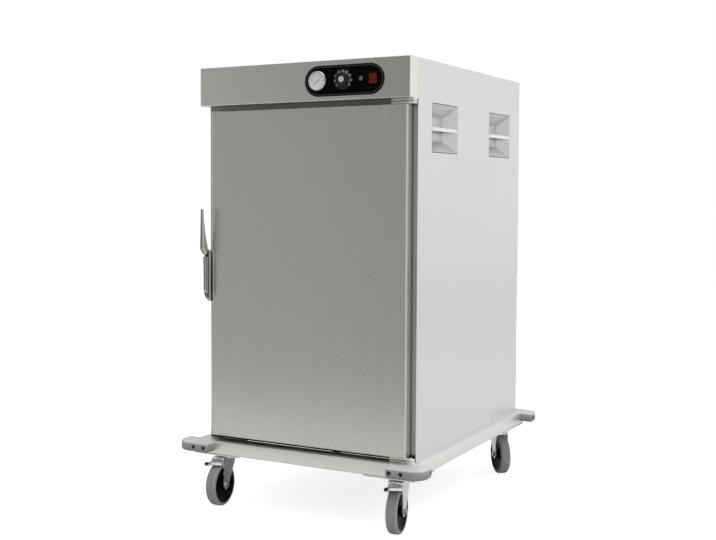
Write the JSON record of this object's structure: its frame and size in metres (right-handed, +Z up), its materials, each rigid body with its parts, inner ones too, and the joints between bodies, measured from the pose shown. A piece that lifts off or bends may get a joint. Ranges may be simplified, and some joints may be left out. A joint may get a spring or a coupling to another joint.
{
  "type": "heated holding cabinet",
  "caption": "Mobile insulated stainless cabinet that keeps trays of food hot, with a hinged door, edge latch, control hood, push grips, corner bumpers and swivel casters.",
  "frame": {"origin": "on the floor, under the middle of the footprint", "axes": "+Z up, front and door towards -Y, hinges on the +X side"},
  "size_m": [0.78, 1.007, 1.284],
  "materials": {
    "chassis_steel": "satin",
    "body_stainless": "satin brushed",
    "door_stainless": "semi-mirror brushed",
    "liner_stainless": "satin",
    "bumper_plastic": "moulded satin",
    "fastener_zinc": "zinc plated",
    "caster_zinc": "bright zinc plated",
    "hub_plastic": "moulded",
    "tyre_rubber": "smooth",
    "mineral_wool": "fibrous",
    "heater_sheath": "heat tinted",
    "gasket_rubber": "smooth",
    "chromed_casting": "polished",
    "magnet_black": "matt",
    "control_black": "satin",
    "bezel_chrome": "polished",
    "dial_white": "printed",
    "dial_glass": "clear",
    "pointer_black": "matt",
    "lamp_lens": "glossy",
    "rocker_red": "glossy"
  },
  "bodies": {
    "cabinet": {"chassis_frame": "chassis_steel", "corner_bumpers": "bumper_plastic", "bumper_screws": "fastener_zinc", "caster_bolts": "fastener_zinc", "caster_plates": "caster_zinc", "right_side_panel": "body_stainless", "left_side_panel": "body_stainless", "top_panel": "body_stainless", "back_panel": "body_stainless", "face_frame": "body_stainless", "grip_dishes": "body_stainless", "grip_bars": "body_stainless", "bottom_pan": "liner_stainless", "control_hood": "door_stainless", "cavity_liner": "liner_stainless", "tray_racks": "liner_stainless", "element_brackets": "liner_stainless", "latch_strike": "liner_stainless", "insulation": "mineral_wool", "heating_element": "heater_sheath", "frame_hinge_brackets": "chromed_casting", "control_plate": "control_black", "thermometer_case": "bezel_chrome", "thermometer_dial": "dial_white", "thermometer_glass": "dial_glass", "thermostat_body": "control_black", "pilot_lamp": "lamp_lens", "switch_frame": "control_black", "power_inlet": "control_black"},
    "door": {"door_outer_skin": "door_stainless", "door_inner_skin": "liner_stainless", "door_insulation": "mineral_wool", "door_gasket": "gasket_rubber", "door_hinge_leaves": "chromed_casting", "latch_body": "chromed_casting", "latch_magnet": "magnet_black"},
    "lever": {"latch_lever": "chromed_casting"},
    "plunger": {"latch_plunger": "chromed_casting"},
    "pointer": {"thermometer_pointer": "pointer_black"},
    "knob": {"thermostat_knob": "control_black"},
    "rocker": {"switch_rocker": "rocker_red"},
    "pan": {"water_pan": "liner_stainless"},
    "swivel_front_left": {"fork_front_left": "caster_zinc", "axle_front_left": "fastener_zinc"},
    "wheel_front_left": {"hub_front_left": "hub_plastic", "tyre_front_left": "tyre_rubber"},
    "swivel_front_right": {"fork_front_right": "caster_zinc", "axle_front_right": "fastener_zinc"},
    "wheel_front_right": {"hub_front_right": "hub_plastic", "tyre_front_right": "tyre_rubber"},
    "swivel_rear_left": {"fork_rear_left": "caster_zinc", "axle_rear_left": "fastener_zinc"},
    "wheel_rear_left": {"hub_rear_left": "hub_plastic", "tyre_rear_left": "tyre_rubber"},
    "swivel_rear_right": {"fork_rear_right": "caster_zinc", "axle_rear_right": "fastener_zinc"},
    "wheel_rear_right": {"hub_rear_right": "hub_plastic", "tyre_rear_right": "tyre_rubber"},
    "pedal_front_left": {"brake_pedal_front_left": "caster_zinc"},
    "pedal_front_right": {"brake_pedal_front_right": "caster_zinc"}
  },
  "joints": [
    {"name": "door_hinge", "type": "hinge", "parent": "cabinet", "child": "door", "pos_m": [0.326, -0.4255, 0.68425], "axis": [0, 0, 1], "range_deg": [0, 200]},
    {"name": "latch_lever", "type": "hinge", "parent": "door", "child": "lever", "pos_m": [-0.3075, -0.453, 0.748], "axis": [1, 0, 0], "range_deg": [0, 20]},
    {"name": "latch_plunger", "type": "slide", "parent": "door", "child": "plunger", "axis": [0, 1, 0], "range_m": [0, 0.004]},
    {"name": "thermometer_pointer", "type": "hinge", "parent": "cabinet", "child": "pointer", "pos_m": [0.0565, -0.4605, 1.2295], "axis": [0, -1, 0], "range_deg": [-260, 0]},
    {"name": "thermostat_knob", "type": "hinge", "parent": "cabinet", "child": "knob", "pos_m": [0.1355, -0.4605, 1.2295], "axis": [0, -1, 0], "range_deg": [-270, 0]},
    {"name": "power_rocker", "type": "hinge", "parent": "cabinet", "child": "rocker", "pos_m": [0.224, -0.4565, 1.2295], "axis": [1, 0, 0], "range_deg": [-14, 0]},
    {"name": "water_pan_lift", "type": "slide", "parent": "cabinet", "child": "pan", "axis": [0, 0, 1], "range_m": [0, 0.1]},
    {"name": "swivel_front_left", "type": "hinge", "parent": "cabinet", "child": "swivel_front_left", "pos_m": [-0.282, -0.3975, 0.14], "axis": [0, 0, 1], "continuous": true},
    {"name": "wheel_front_left", "type": "hinge", "parent": "swivel_front_left", "child": "wheel_front_left", "pos_m": [-0.28088, -0.42948, 0.0625], "axis": [0.9994, 0.0349, 0], "continuous": true},
    {"name": "brake_front_left", "type": "hinge", "parent": "swivel_front_left", "child": "pedal_front_left", "pos_m": [-0.28053, -0.43947, 0.132], "axis": [0.9994, 0.0349, 0], "range_deg": [0, 10]},
    {"name": "swivel_front_right", "type": "hinge", "parent": "cabinet", "child": "swivel_front_right", "pos_m": [0.282, -0.3975, 0.14], "axis": [0, 0, 1], "continuous": true},
    {"name": "wheel_front_right", "type": "hinge", "parent": "swivel_front_right", "child": "wheel_front_right", "pos_m": [0.28645, -0.42919, 0.0625], "axis": [0.9903, 0.1392, 0], "continuous": true},
    {"name": "brake_front_right", "type": "hinge", "parent": "swivel_front_right", "child": "pedal_front_right", "pos_m": [0.28785, -0.43909, 0.132], "axis": [0.9903, 0.1392, 0], "range_deg": [0, 10]},
    {"name": "swivel_rear_left", "type": "hinge", "parent": "cabinet", "child": "swivel_rear_left", "pos_m": [-0.282, 0.4025, 0.14], "axis": [0, 0, 1], "continuous": true},
    {"name": "wheel_rear_left", "type": "hinge", "parent": "swivel_rear_left", "child": "wheel_rear_left", "pos_m": [-0.29295, 0.37243, 0.0625], "axis": [0.9397, -0.342, 0], "continuous": true},
    {"name": "swivel_rear_right", "type": "hinge", "parent": "cabinet", "child": "swivel_rear_right", "pos_m": [0.282, 0.4025, 0.14], "axis": [0, 0, 1], "continuous": true},
    {"name": "wheel_rear_right", "type": "hinge", "parent": "swivel_rear_right", "child": "wheel_rear_right", "pos_m": [0.30126, 0.37694, 0.0625], "axis": [0.7986, 0.6018, 0], "continuous": true}
  ],
  "couplings": [
    {"joint": "latch_plunger", "follows": "latch_lever", "m_per_rad": 0.011459}
  ]
}
